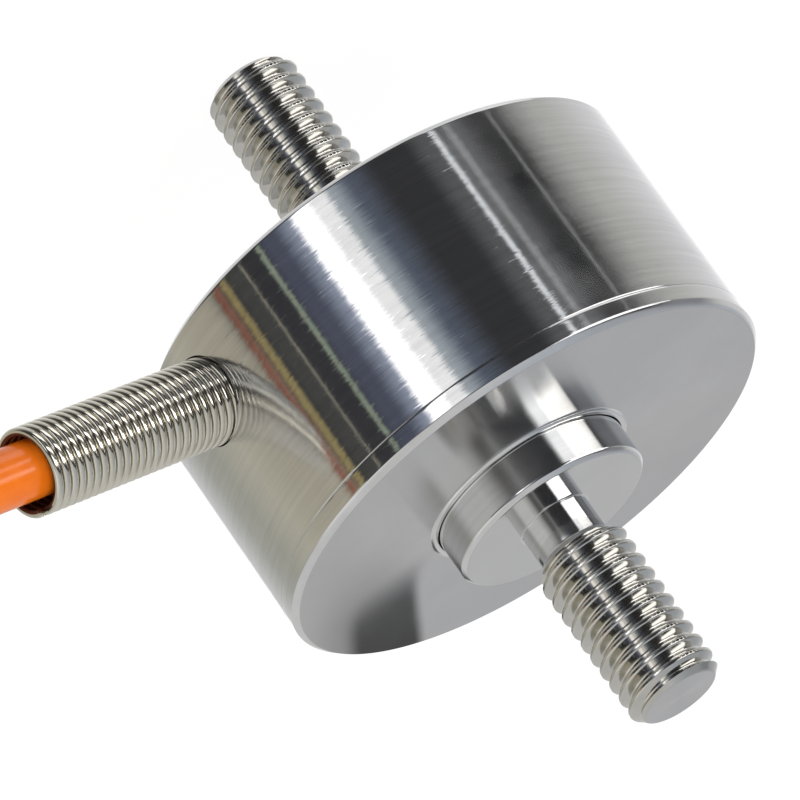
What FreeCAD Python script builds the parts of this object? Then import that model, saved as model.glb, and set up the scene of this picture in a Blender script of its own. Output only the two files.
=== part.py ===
import FreeCAD, Part
import math
import os
import re

import Sketcher

# Miniature tension and compression load cell: a turned steel housing with a fixed stud, a one-piece
# sensing element whose boss and loading stud stand out of the cover, and a spring-guarded cable.
# The load axis is +Z, the plain mounting face of the housing is z = 0 and the cable leaves along +X.

SIZES = [
    # housing and its fixed stud
    ("housing_dia", 32.0),
    ("housing_height", 16.0),
    ("rim_chamfer", 0.35),
    ("floor_thick", 1.8),
    ("cavity_wall", 3.6),
    ("seat_wall", 2.0),
    ("seat_level", 8.0),
    ("fit_clearance", 0.02),
    ("stud_dia", 6.0),
    ("stud_chamfer", 0.6),
    ("fixed_stud_length", 15.0),
    # sensing element
    ("element_ring_wall", 3.0),
    ("diaphragm_rise", 1.4),
    ("diaphragm_thick", 1.2),
    ("boss_dia", 12.5),
    ("boss_height", 2.75),
    ("boss_chamfer", 0.25),
    ("neck_dia", 4.4),
    ("neck_length", 2.25),
    ("loading_stud_reach", 13.25),
    # cover plate
    ("cover_thick", 1.4),
    ("collar_height", 0.15),
    ("collar_wall", 0.4),
    ("boss_gap", 0.06),
    # gauges on the diaphragm and their ribbon leads
    ("gauge_length", 3.0),
    ("gauge_width", 2.4),
    ("gauge_thick", 0.1),
    ("gauge_setback", 1.08),
    ("ribbon_thick", 0.1),
    ("ribbon_width", 1.2),
    ("ribbon_inset", 0.8),
    # circuit board with its trimming resistors and solder pins
    ("board_end_gap", 4.7),
    ("board_side_gap", 6.1),
    ("board_thick", 1.0),
    ("resistor_length", 2.0),
    ("resistor_width", 1.25),
    ("resistor_height", 0.6),
    ("resistor_pitch", 2.6),
    ("resistor_setback", 4.6),
    ("pin_side", 0.6),
    ("pin_rise", 0.6),
    ("pin_clearance", 0.03),
    # cable exit and its guard spring
    ("exit_level", 4.35),
    ("exit_lean", 3.0),
    ("spring_dia", 5.3),
    ("spring_wire", 0.5),
    ("spring_pitch", 0.55),
    ("spring_seat_depth", 2.2),
    ("spring_reach", 13.7),
    ("spring_clearance", 0.07),
    ("cable_dia", 3.5),
    ("cable_clearance", 0.1),
    ("clamp_wall", 0.35),
    ("clamp_length", 1.9),
    ("clamp_gap", 0.4),
    ("cable_stub", 0.5),
    ("core_dia", 0.7),
    ("core_pitch", 0.8),
    ("core_run", 2.4),
    # stored length of the cable and its open end
    ("coil_mean_dia", 35.8),
    ("coil_columns", 3.0),
    ("coil_rows", 6.0),
    ("coil_center_x", 56.0),
    ("coil_center_y", 19.3),
    ("tie_width", 5.0),
    ("tie_thick", 0.8),
    ("tie_proud", 0.4),
    ("sleeve_dia", 4.0),
    ("sleeve_length", 12.0),
    ("lead_dia", 1.0),
    ("lead_length", 16.0),
    ("lead_spread", 0.75),
]

GAUGE_ANGLES = [45, 135, 225, 315]
CORE_COLOURS = ["red", "black", "green", "white"]
SPRING_FLATS = 10
SPRING_END_ANGLE = 157.5

# The cable leaves the guard spring and runs on to the top turn of the coil, and its end lies on the ground.
CABLE_STRAIGHT = 23.0
CABLE_ROUTE = [(56.0, -1.7, 4.0)]
TAIL_START = FreeCAD.Vector(58.0, 39.4, -13.0)
TAIL_END = FreeCAD.Vector(42.5, 40.6, -12.7)
ARC_SHARE = 0.45

# Every turned piece is drawn as half its section, from levels and radii that follow the sizes.
HOUSING_R = "housing_dia / 2"
CAVITY_R = "housing_dia / 2 - cavity_wall"
SEAT_R = "housing_dia / 2 - seat_wall"
STUD_R = "stud_dia / 2"
BOSS_R = "boss_dia / 2"
NECK_R = "neck_dia / 2"
SEAM = "housing_height - cover_thick"
RING_R = "housing_dia / 2 - seat_wall - fit_clearance"
RING_BORE_R = "housing_dia / 2 - seat_wall - fit_clearance - element_ring_wall"
GAUGE_FACE = "seat_level + diaphragm_rise"
GAUGE_R = f"({RING_BORE_R} - gauge_setback - gauge_length / 2)"
RIBBON_R = f"({GAUGE_R} - ribbon_inset)"
BOSS_FACE = "housing_height + boss_height"
THREAD_START = "housing_height + boss_height + neck_length + (stud_dia - neck_dia) / 2"
STUD_TIP = "housing_height + boss_height + loading_stud_reach"
COVER_BORE_R = "boss_dia / 2 + boss_gap"
COLLAR_R = "boss_dia / 2 + boss_gap + collar_wall"
BOARD_TOP = "floor_thick + board_thick"
SPRING_R = "spring_dia / 2"
CABLE_R = "cable_dia / 2"
CABLE_INSET = "cavity_wall + clamp_gap + clamp_length + cable_stub"
GROUND = "-fixed_stud_length"
COIL_HEIGHT = "coil_rows * cable_dia"
COIL_IN_R = "(coil_mean_dia - coil_columns * cable_dia) / 2"
COIL_OUT_R = "(coil_mean_dia + coil_columns * cable_dia) / 2"

doc = FreeCAD.newDocument("load_cell")
sheet = doc.addObject("Spreadsheet::Sheet", "Sizes")
for row, (alias, size) in enumerate(SIZES, start=1):
    sheet.set(f"A{row}", alias)
    sheet.set(f"B{row}", str(size))
    sheet.setAlias(f"B{row}", alias)
doc.recompute()

ALIASES = {alias for alias, size in SIZES}
NODES = []


def bound(text):
    """The same formula with every size written as a cell of the sheet."""
    return re.sub(r"[a-z_]+", lambda word: f"Sizes.{word[0]}" if word[0] in ALIASES else word[0], text)


def value(text):
    """The present value of a formula, in millimetres or degrees."""
    return float(sheet.evalExpression(bound(text)))


def keep(item, label):
    item.Label = label
    NODES.append(item)
    return item


def sketch_on(body, name, role):
    sketch = body.newObject("Sketcher::SketchObject", name)
    plane = next(item for item in body.Origin.OriginFeatures if item.Role == role)
    sketch.AttachmentSupport = [(plane, "")]
    sketch.MapMode = "FlatFace"
    return sketch


def bind_constraint(sketch, constraint, text):
    index = sketch.addConstraint(constraint)
    sketch.setExpression(f"Constraints[{index}]", bound(text))


def draw_outline(sketch, corners):
    """A closed outline of straight edges whose corners are pairs of formulas."""
    places = [FreeCAD.Vector(value(across), value(up), 0) for across, up in corners]
    for start, end in zip(places, places[1:] + places[:1]):
        sketch.addGeometry(Part.LineSegment(start, end))
    for line in range(len(corners)):
        sketch.addConstraint(Sketcher.Constraint("Coincident", line, 2, (line + 1) % len(corners), 1))
    for line, (across, up) in enumerate(corners):
        if across == "0":
            sketch.addConstraint(Sketcher.Constraint("PointOnObject", line, 1, -2))
        else:
            bind_constraint(sketch, Sketcher.Constraint("DistanceX", -1, 1, line, 1, value(across)), across)
        if up == "0":
            sketch.addConstraint(Sketcher.Constraint("PointOnObject", line, 1, -1))
        else:
            bind_constraint(sketch, Sketcher.Constraint("DistanceY", -1, 1, line, 1, value(up)), up)


def draw_circle(sketch, radius):
    circle = Part.Circle(FreeCAD.Vector(), FreeCAD.Vector(0, 0, 1), value(radius))
    index = sketch.addGeometry(circle)
    sketch.addConstraint(Sketcher.Constraint("Coincident", index, 3, -1, 1))
    bind_constraint(sketch, Sketcher.Constraint("Radius", index, value(radius)), radius)


def turned(name, corners):
    """A body turned about its own Z axis from half its section."""
    body = doc.addObject("PartDesign::Body", name)
    section = sketch_on(body, f"{name}_section", "XZ_Plane")
    draw_outline(section, corners)
    turning = body.newObject("PartDesign::Revolution", f"{name}_turning")
    turning.Profile = section
    turning.ReferenceAxis = (section, ["V_Axis"])
    turning.Angle = 360
    return body


def box(name, length, width, height):
    item = doc.addObject("Part::Box", name)
    item.setExpression("Length", bound(length))
    item.setExpression("Width", bound(width))
    item.setExpression("Height", bound(height))
    return item


def rod(name, radius, height):
    item = doc.addObject("Part::Cylinder", name)
    item.setExpression("Radius", bound(radius))
    item.setExpression("Height", bound(height))
    return item


def place(item, x, y, z):
    item.setExpression("Placement.Base.x", bound(x))
    item.setExpression("Placement.Base.y", bound(y))
    item.setExpression("Placement.Base.z", bound(z))


def place_radial_box(item, angle, radius, length, width, level):
    """A box whose length lies along a radius of the load axis, with its middle on that radius."""
    item.Placement = FreeCAD.Placement(FreeCAD.Vector(), FreeCAD.Rotation(FreeCAD.Vector(0, 0, 1), angle))
    inner = f"({radius} - {length} / 2)"
    place(
        item,
        f"{inner} * cos({angle}) + {width} / 2 * sin({angle})",
        f"{inner} * sin({angle}) - {width} / 2 * cos({angle})",
        level,
    )


def place_on_exit_axis(item, along, across="0"):
    """The item's own Z axis goes onto the leaning cable axis, its origin at a distance from the wall."""
    item.Placement = FreeCAD.Placement(
        FreeCAD.Vector(), FreeCAD.Rotation(FreeCAD.Vector(0, 1, 0), value("90 - exit_lean"))
    )
    item.setExpression("Placement.Rotation.Angle", bound("90 - exit_lean"))
    place(
        item,
        f"housing_dia / 2 + ({along}) * cos(exit_lean)",
        across,
        f"exit_level + ({along}) * sin(exit_lean)",
    )


def exit_point(along):
    """A point on the cable axis, at a distance outside the housing's wall."""
    lean = math.radians(value("exit_lean"))
    wall = FreeCAD.Vector(value(HOUSING_R), 0, value("exit_level"))
    return wall + FreeCAD.Vector(math.cos(lean), 0, math.sin(lean)) * along


def route_path(points):
    """Straight runs joined by tangent arcs, each arc as large as its two runs allow."""
    edges = []
    radii = []
    start = points[0]
    for before, corner, after in zip(points, points[1:], points[2:]):
        back = before - corner
        ahead = after - corner
        reach = ARC_SHARE * min(back.Length, ahead.Length)
        back.normalize()
        ahead.normalize()
        half_turn = (math.pi - back.getAngle(ahead)) / 2
        radius = reach / math.tan(half_turn)
        inward = (back + ahead).normalize()
        middle = corner + inward * (radius / math.cos(half_turn) - radius)
        arc_start = corner + back * reach
        arc_end = corner + ahead * reach
        edges.append(Part.LineSegment(start, arc_start).toShape())
        edges.append(Part.Arc(arc_start, middle, arc_end).toShape())
        radii.append(radius)
        start = arc_end
    edges.append(Part.LineSegment(start, points[-1]).toShape())
    return Part.Wire(edges), radii


def routed(label, points, diameter):
    """A round cable along a route, checked against its section times its length."""
    path, radii = route_path(points)
    ring = Part.Wire([Part.Circle(points[0], points[1] - points[0], diameter / 2).toShape()])
    tube = path.makePipe(Part.Face(ring))
    wanted = math.pi * diameter ** 2 / 4 * path.Length
    if abs(tube.Volume / wanted - 1) > 0.01:
        raise ValueError(f"{label}: the swept volume doesn't match its section and length")
    listed = ", ".join(f"{radius:.1f}" for radius in radii)
    print(f"{label}: length {path.Length:.1f} mm, arc radii {listed} mm")
    return tube


def shaped(label, shape):
    item = doc.addObject("Part::Feature", label)
    item.Shape = shape
    return keep(item, label)


def make_housing():
    """A turned cup with its stud, stepped inside to seat the element and drilled for the cable."""
    body = turned("housing", [
        ("0", GROUND),
        (f"{STUD_R} - stud_chamfer", GROUND),
        (STUD_R, f"{GROUND} + stud_chamfer"),
        (STUD_R, "0"),
        (f"{HOUSING_R} - rim_chamfer", "0"),
        (HOUSING_R, "rim_chamfer"),
        (HOUSING_R, SEAM),
        (SEAT_R, SEAM),
        (SEAT_R, "seat_level"),
        (CAVITY_R, "seat_level"),
        (CAVITY_R, "floor_thick"),
        ("0", "floor_thick"),
    ])
    drill(body, "spring_seat", f"{SPRING_R} + spring_clearance", "spring_seat_depth")
    drill(body, "cable_hole", f"{CABLE_R} + cable_clearance", f"cavity_wall + {CABLE_R}")
    return keep(body, "housing")


def drill(body, name, radius, depth):
    """A round hole along the cable axis, cut from outside the wall to a depth behind its surface."""
    doc.recompute()
    volume_before = body.Shape.Volume
    lead_in = f"({SPRING_R})"
    sketch = sketch_on(body, f"{name}_circle", "YZ_Plane")
    sketch.AttachmentOffset = FreeCAD.Placement(
        FreeCAD.Vector(), FreeCAD.Rotation(FreeCAD.Vector(-1, 0, 0), value("exit_lean"))
    )
    sketch.setExpression("AttachmentOffset.Rotation.Angle", bound("exit_lean"))
    sketch.setExpression("AttachmentOffset.Base.y", bound(f"exit_level + {lead_in} * sin(exit_lean)"))
    sketch.setExpression("AttachmentOffset.Base.z", bound(f"{HOUSING_R} + {lead_in} * cos(exit_lean)"))
    draw_circle(sketch, radius)
    pocket = body.newObject("PartDesign::Pocket", name)
    pocket.Profile = sketch
    pocket.setExpression("Length", bound(f"{depth} + {lead_in}"))
    doc.recompute()
    if body.Shape.Volume >= volume_before:
        raise ValueError(f"{name}: the hole cuts nothing")


def make_sensing_element():
    """Outer ring, diaphragm, boss, relieved neck and loading stud, turned from one bar."""
    body = turned("sensing_element", [
        ("0", GAUGE_FACE),
        (RING_BORE_R, GAUGE_FACE),
        (RING_BORE_R, "seat_level"),
        (RING_R, "seat_level"),
        (RING_R, SEAM),
        (RING_BORE_R, SEAM),
        (RING_BORE_R, f"{GAUGE_FACE} + diaphragm_thick"),
        (BOSS_R, f"{GAUGE_FACE} + diaphragm_thick"),
        (BOSS_R, f"{BOSS_FACE} - boss_chamfer"),
        (f"{BOSS_R} - boss_chamfer", BOSS_FACE),
        (NECK_R, BOSS_FACE),
        (NECK_R, f"{BOSS_FACE} + neck_length"),
        (STUD_R, THREAD_START),
        (STUD_R, f"{STUD_TIP} - stud_chamfer"),
        (f"{STUD_R} - stud_chamfer", STUD_TIP),
        ("0", STUD_TIP),
    ])
    return keep(body, "sensing_element")


def make_cover_plate():
    """A flat disc on the rims of the housing and the element, with a low collar round the boss."""
    collar_top = "housing_height + collar_height"
    body = turned("cover_plate", [
        (COVER_BORE_R, SEAM),
        (HOUSING_R, SEAM),
        (HOUSING_R, "housing_height - rim_chamfer"),
        (f"{HOUSING_R} - rim_chamfer", "housing_height"),
        (COLLAR_R, "housing_height"),
        (COLLAR_R, collar_top),
        (COVER_BORE_R, collar_top),
    ])
    return keep(body, "cover_plate")


def make_gauge(number, angle):
    """A foil gauge bonded to the underside of the diaphragm."""
    gauge = box(f"strain_gauge_{number}", "gauge_length", "gauge_width", "gauge_thick")
    place_radial_box(
        gauge, angle, GAUGE_R, "gauge_length", "gauge_width", f"{GAUGE_FACE} - gauge_thick"
    )
    return keep(gauge, f"strain_gauge_{number}")


def make_gauge_ribbon(number, angle):
    """The flat leads that run from a gauge straight down to the board."""
    height = f"{GAUGE_FACE} - gauge_thick - ({BOARD_TOP})"
    ribbon = box(f"gauge_ribbon_{number}", "ribbon_thick", "ribbon_width", height)
    place_radial_box(ribbon, angle, RIBBON_R, "ribbon_thick", "ribbon_width", BOARD_TOP)
    return keep(ribbon, f"gauge_ribbon_{number}")


def make_circuit_board():
    half_length = f"({CAVITY_R} - board_end_gap)"
    half_width = f"({CAVITY_R} - board_side_gap)"
    board = box("circuit_board", f"2 * {half_length}", f"2 * {half_width}", "board_thick")
    place(board, f"-{half_length}", f"-{half_width}", "floor_thick")
    return keep(board, "circuit_board")


def make_resistor(label, step):
    resistor = box(label, "resistor_width", "resistor_length", "resistor_height")
    place(
        resistor,
        "-resistor_setback - resistor_width / 2",
        f"{step} * resistor_pitch - resistor_length / 2",
        BOARD_TOP,
    )
    return keep(resistor, label)


def make_core_and_pin(colour, step):
    """One insulated core from the cable's stripped end, and the board's solder pin that it meets."""
    across = f"{step} * core_pitch"
    end = f"-({CABLE_INSET}) - core_run"
    core = rod(f"core_{colour}", "core_dia / 2", "core_run")
    place_on_exit_axis(core, end, across)
    keep(core, f"core_{colour}")
    end_level = f"exit_level + ({end}) * sin(exit_lean)"
    pin = box(f"solder_pin_{colour}", "pin_side", "pin_side", f"{end_level} + pin_rise - ({BOARD_TOP})")
    behind = f"{HOUSING_R} + ({end}) * cos(exit_lean) - pin_clearance - pin_side"
    place(pin, behind, f"{across} - pin_side / 2", BOARD_TOP)
    return keep(pin, f"solder_pin_{colour}")


def make_guard_spring():
    """A close-wound spring seated in the wall, its wire drawn with a few flats to each turn."""
    wire = value("spring_wire")
    radius = value(SPRING_R) - wire / 2
    height = value("spring_seat_depth + spring_reach") - wire
    flats = round(height / value("spring_pitch") * SPRING_FLATS)
    points = []
    for flat in range(flats + 1):
        angle = math.radians(SPRING_END_ANGLE) - 2 * math.pi * (flats - flat) / SPRING_FLATS
        level = wire / 2 + height * flat / flats
        points.append(FreeCAD.Vector(radius * math.cos(angle), radius * math.sin(angle), level))
    path = Part.makePolygon(points)
    ahead = (points[1] - points[0]).normalize()
    up = (FreeCAD.Vector(0, 0, 1) - ahead * ahead.z).normalize()
    out = ahead.cross(up)
    tips = [points[0] + side * (wire / 2) for side in (out, up, -out, -up, out)]
    spring = doc.addObject("Part::Feature", "strain_relief_spring")
    spring.Shape = path.makePipeShell([Part.makePolygon(tips)], True, True, 1)
    if abs(spring.Shape.Volume / (wire ** 2 / 2 * path.Length) - 1) > 0.01:
        raise ValueError("strain_relief_spring: the wound volume doesn't match its wire")
    place_on_exit_axis(spring, "-spring_seat_depth")
    return keep(spring, "strain_relief_spring")


def make_cable_clamp():
    """A crimped sleeve that keeps the cable from being pulled out through the wall."""
    body = turned("cable_clamp", [
        (CABLE_R, "0"),
        (f"{CABLE_R} + clamp_wall", "0"),
        (f"{CABLE_R} + clamp_wall", "clamp_length"),
        (CABLE_R, "clamp_length"),
    ])
    place_on_exit_axis(body, "-cavity_wall - clamp_gap - clamp_length")
    return keep(body, "cable_clamp")


def make_coil_and_tie():
    """The stored turns of cable as one ring, with the tie pulled half into its section."""
    ring = turned("coil_turns", [
        (COIL_IN_R, GROUND),
        (COIL_OUT_R, GROUND),
        (COIL_OUT_R, f"{GROUND} + {COIL_HEIGHT}"),
        (COIL_IN_R, f"{GROUND} + {COIL_HEIGHT}"),
    ])
    ring.setExpression("Placement.Base.x", bound("coil_center_x"))
    ring.setExpression("Placement.Base.y", bound("coil_center_y"))
    start = f"coil_center_x + {COIL_IN_R} - tie_proud"
    depth = f"{COIL_OUT_R} - {COIL_IN_R} + 2 * tie_proud"
    outer = box("tie_outside", depth, "tie_width", COIL_HEIGHT)
    place(outer, start, "coil_center_y - tie_width / 2", GROUND)
    inner = box("tie_inside", f"{depth} - 2 * tie_thick", "tie_width", f"{COIL_HEIGHT} - 2 * tie_thick")
    place(inner, f"{start} + tie_thick", "coil_center_y - tie_width / 2", f"{GROUND} + tie_thick")
    tie = doc.addObject("Part::Cut", "cable_tie")
    tie.Base = outer
    tie.Tool = inner
    coil = doc.addObject("Part::Cut", "cable_coil")
    coil.Base = ring
    coil.Tool = tie
    doc.recompute()
    keep(tie, "cable_tie")
    return keep(coil, "cable_coil")


def make_cable(coil):
    """The free stretch from the cable's stripped end inside the housing to the coil."""
    points = [exit_point(-value(CABLE_INSET)), exit_point(CABLE_STRAIGHT)]
    points += [FreeCAD.Vector(*point) for point in CABLE_ROUTE]
    return shaped("cable", routed("cable", points, value("cable_dia")).cut(coil.Shape))


def tail_placement(along, across, up):
    """A place on the cable's end, past the end of its jacket, with Z pointing out along the cable."""
    ahead = (TAIL_END - TAIL_START).normalize()
    side = ahead.cross(FreeCAD.Vector(0, 0, 1)).normalize()
    rotation = FreeCAD.Rotation(side, side.cross(ahead), ahead, "ZXY")
    return FreeCAD.Placement(TAIL_END + ahead * along + side * across + side.cross(ahead) * up, rotation)


def make_cable_tail(coil):
    """The last straight stretch, which leaves the coil's lowest layer."""
    tail = routed("cable_tail", [TAIL_START, TAIL_END], value("cable_dia"))
    return shaped("cable_tail", tail.cut(coil.Shape))


def make_end_sleeve():
    sleeve = rod("end_sleeve", "sleeve_dia / 2", "sleeve_length")
    sleeve.Placement = tail_placement(0, 0, 0)
    return keep(sleeve, "end_sleeve")


def make_open_lead(label, across, up):
    lead = rod(label, "lead_dia / 2", "lead_length")
    lead.Placement = tail_placement(value("sleeve_length"), across, up)
    return keep(lead, label)


make_housing()
make_sensing_element()
make_cover_plate()
for gauge_number, gauge_angle in enumerate(GAUGE_ANGLES, start=1):
    make_gauge(gauge_number, gauge_angle)
    make_gauge_ribbon(gauge_number, gauge_angle)
make_circuit_board()
make_resistor("zero_resistor", -1)
make_resistor("span_resistor", 0)
make_resistor("temperature_resistor", 1)
make_guard_spring()
make_cable_clamp()
for core_number, core_colour in enumerate(CORE_COLOURS):
    make_core_and_pin(core_colour, core_number - (len(CORE_COLOURS) - 1) / 2)
cable_coil = make_coil_and_tie()
make_cable(cable_coil)
make_cable_tail(cable_coil)
make_end_sleeve()
lead_offset = value("lead_spread")
make_open_lead("lead_red", -lead_offset, -lead_offset)
make_open_lead("lead_black", -lead_offset, lead_offset)
make_open_lead("lead_green", lead_offset, -lead_offset)
make_open_lead("lead_white", lead_offset, lead_offset)
doc.recompute()

for item in doc.Objects:
    if "Invalid" in item.State or "Error" in item.State:
        raise ValueError(f"{item.Label}: {item.State}")
for node in NODES:
    if node.Shape.isNull() or not node.Shape.isValid():
        raise ValueError(f"{node.Label}: its shape is not valid")

os.makedirs("parts", exist_ok=True)
for node in NODES:
    node.Shape.exportStep(f"parts/{node.Label}.step")
    print(f"{node.Label}: {len(node.Shape.Solids)} solid, {node.Shape.Volume:.2f} cubic mm")
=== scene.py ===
import math

import bpy
from mathutils import Matrix, Vector


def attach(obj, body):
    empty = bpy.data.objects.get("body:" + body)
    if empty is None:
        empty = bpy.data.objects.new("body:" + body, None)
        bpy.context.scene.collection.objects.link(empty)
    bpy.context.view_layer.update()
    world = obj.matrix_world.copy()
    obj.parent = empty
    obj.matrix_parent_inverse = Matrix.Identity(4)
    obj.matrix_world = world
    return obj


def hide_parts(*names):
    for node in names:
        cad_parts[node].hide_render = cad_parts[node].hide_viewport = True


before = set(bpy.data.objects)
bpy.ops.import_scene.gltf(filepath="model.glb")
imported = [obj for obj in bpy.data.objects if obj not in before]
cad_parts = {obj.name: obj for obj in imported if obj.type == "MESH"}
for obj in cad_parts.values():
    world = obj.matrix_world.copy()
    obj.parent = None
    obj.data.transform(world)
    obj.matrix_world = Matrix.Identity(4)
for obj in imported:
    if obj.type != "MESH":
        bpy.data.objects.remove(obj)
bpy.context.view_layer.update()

# A small tension and compression load cell in turned steel. All sizes below are millimetres; the load axis is +Z,
# the plain mounting face is z = 0 and the cable leaves along +X.
MM = 0.001
WELD = 1e-6
ROUND_STEPS = 240
HOLD = 0.14
EDGE_BREAK = 0.05
# how far a face's normal points along the load axis on a flat end, and at least on a sloped edge
FLAT = 0.9
SLOPED = 0.3

# camera: a long lens, with the loading stud pointing down and to the right of the picture
CAMERA_PLACE = (267.02, -328.17, 174.09)
CAMERA_TURN = (-64.270, -32.280, -155.754)
CAMERA_LENS = 350.9

# housing and fixed stud
HOUSING_R = 16.0
HOUSING_TOP = 14.6
RIM_CHAMFER = 0.35
FLOOR_THICK = 1.8
CAVITY_R = 12.4
SEAT_R = 14.0
SEAT_LEVEL = 8.0
STUD_R = 3.0
STUD_CHAMFER = 0.6
FIXED_STUD_TIP = -15.0
STUD_ROOT = 0.8
STUD_EDGE_BREAK = 0.06

# sensing element, boss and loading stud
RING_R = 13.98
RING_BORE_R = 10.98
GAUGE_FACE = 9.4
DIAPHRAGM_TOP = 10.6
BOSS_R = 6.25
BOSS_FACE = 18.75
BOSS_CHAMFER = 0.25
NECK_R = 2.2
NECK_TOP = 21.0
THREAD_START = 21.8
LOADING_STUD_TIP = 32.0

# cover plate
COVER_TOP = 16.0
COVER_BORE_R = 6.31
COLLAR_R = 6.71
COLLAR_TOP = 16.15
COLLAR_SHOULDER = (0.03, 0.08)
COLLAR_ROUND = 0.11

# thread: the levels between which each groove runs, and half the groove's section, from its open side to its root,
# as radius and half width
FIXED_GROOVE = (FIXED_STUD_TIP - 1.3, STUD_ROOT + 2.1)
LOADING_GROOVE = (NECK_TOP - 0.35, LOADING_STUD_TIP + 1.7)
THREAD_PITCH = 1.0
THREAD_STEPS = 64
GROOVE_SIDE = [
    (3.3, 0.47), (3.0, 0.44), (2.985, 0.405), (2.955, 0.37), (2.90, 0.33), (2.53, 0.115), (2.48, 0.06),
    (2.465, 0.02),
]

# cable exit and guard spring
EXIT_LEVEL = 4.35
EXIT_LEAN = math.radians(3.0)
HOLE_ROOM = 2.8
DRILL_LEAD_IN = 3.0
SPRING_R = 2.65
SPRING_WIRE = 0.5
SPRING_PITCH = 0.55
SPRING_SEAT_DEPTH = 2.2
SPRING_REACH = 13.7
SPRING_CLEARANCE = 0.07
SPRING_END_ANGLE = math.radians(157.5)
SPRING_STEPS = 44
WIRE_SIDES = 20
WIRE_FULLNESS = 0.76
# depths in the wire, as shares of its thickness, between which a painted reflection of the orange jacket, dim as in
# shade, comes up on its inner side
JACKET_REFLECTION_DEPTHS = (0.5, 0.62)
JACKET_REFLECTION_ROUGHNESS = 0.5
CABLE_R = 1.75
CABLE_CLEARANCE = 0.1
CABLE_INSET = 6.4

# cable route, its tied coil and its open end
GROUND = -15.0
FLOOR_GAP = 0.02
CABLE_SAG = 0.12
CABLE_STRAIGHT = [5.0, 17.0, 24.0]
COIL_CENTER = (56.0, 19.3)
COIL_INNER_TURN = 14.4
COIL_COLUMNS = 3
COIL_ROWS = 6
COIL_POINTS_PER_TURN = 24
COIL_TURNS = 16.5
COIL_START = -90.0
COIL_STEP_ANGLE = 270.0
COIL_STEP_SPAN = 60.0
COIL_STEP_LEAD = 20.0
TIE_SPREAD = 34.0
TIE_LIFT = 0.5
TIE_SQUEEZE = 0.3
TAIL_START = Vector((58.0, 39.4, -13.0))
TAIL_END = Vector((42.5, 40.6, -12.7))
TAIL_STRAIGHT = 6.0
SLEEVE_R = 2.0
SLEEVE_LENGTH = 12.0
SLEEVE_EDGE_BREAK = 0.08
SLEEVE_BORE_R = CABLE_R - 0.02
SLEEVE_OVERLAP = 2.0
# outside of the sleeve, from its mouth on the cable to its shrunk end, as radius and level
SLEEVE_SIDE = [
    (CABLE_R + 0.12, 0), (SLEEVE_R - 0.06, 0.9), (SLEEVE_R, 2.2), (SLEEVE_R, 7.4), (1.84, 9.4),
    (1.72, SLEEVE_LENGTH - 0.2), (1.6, SLEEVE_LENGTH),
]
LEAD_R = 0.5
LEAD_LENGTH = 16.0
LEAD_BARE = 5.0
LEAD_SPREAD = 0.75
LEAD_JACKET_END = LEAD_LENGTH - LEAD_BARE
STRAND_R = LEAD_R - 0.12
STRAND_END_R = LEAD_R - 0.14
STRAND_TIP = 0.3
STRAND_TIP_R = 0.16
TIE_WIDTH = 5.0
TIE_THICK = 0.5
TIE_EDGE_BREAK = 0.12
TIE_HEAD = (6.0, 6.4, 3.0)
TIE_HEAD_SHIFT = 1.0
TIE_HEAD_RISE = 0.9
TIE_HEAD_ROUND = 0.7


def exit_point(along):
    """A point on the cable axis, at a distance outside the housing's wall."""
    return Vector((HOUSING_R + along * math.cos(EXIT_LEAN), 0, EXIT_LEVEL + along * math.sin(EXIT_LEAN)))


# Camera

camera_data = bpy.data.cameras.new("camera")
camera_data.lens = CAMERA_LENS
camera = bpy.data.objects.new("camera", camera_data)
camera.location = Vector(CAMERA_PLACE) * MM
camera.rotation_euler = [math.radians(turn) for turn in CAMERA_TURN]
bpy.context.collection.objects.link(camera)
bpy.context.scene.camera = camera


# Cable: one smooth line from inside the housing through the tied coil to the open end

# the coil is wound from its top outer turn inwards and then to and fro, layer under layer
coil_slots = []
for row in reversed(range(COIL_ROWS)):
    inwards = (COIL_ROWS - 1 - row) % 2 == 0
    columns = range(COIL_COLUMNS)
    coil_slots += [(row, column) for column in (reversed(columns) if inwards else columns)]


def coil_slot_at(swept):
    """The radius and level of the cable in the coil after an angle swept since its start, in degrees."""
    step_angle = COIL_STEP_ANGLE
    place = Vector(coil_slots[0])
    for turn, (slot, after) in enumerate(zip(coil_slots, coil_slots[1:])):
        heading = Vector(after) - Vector(slot)
        if turn and heading != Vector(slot) - Vector(coil_slots[turn - 1]):
            step_angle -= COIL_STEP_LEAD
        share = (swept - 360.0 * turn - step_angle) / COIL_STEP_SPAN
        share = min(max(share, 0.0), 1.0)
        place = place + heading * (share * share * (3 - 2 * share))
    row, column = place
    return COIL_INNER_TURN + 2 * CABLE_R * column, GROUND + CABLE_R + 2 * CABLE_R * row


def cable_line():
    points = [exit_point(-CABLE_INSET)]
    points += [exit_point(along) - Vector((0, 0, CABLE_SAG)) for along in CABLE_STRAIGHT]
    reach = 1 / math.cos(math.pi / COIL_POINTS_PER_TURN)
    for step in range(int(COIL_TURNS * COIL_POINTS_PER_TURN) + 1):
        swept = 360.0 * step / COIL_POINTS_PER_TURN
        radius, level = coil_slot_at(swept)
        angle = (COIL_START + swept + 180.0) % 360.0 - 180.0
        near_tie = max(0.0, 1 - (angle / TIE_SPREAD) ** 2) ** 2
        radius = (radius - TIE_SQUEEZE * near_tie) * reach
        level += TIE_LIFT * near_tie
        turn = math.radians(angle)
        points.append(Vector((
            COIL_CENTER[0] + radius * math.cos(turn), COIL_CENTER[1] + radius * math.sin(turn), level,
        )))
    ahead = (TAIL_END - TAIL_START).normalized()
    return points + [TAIL_END - ahead * TAIL_STRAIGHT, TAIL_END + ahead]


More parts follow.
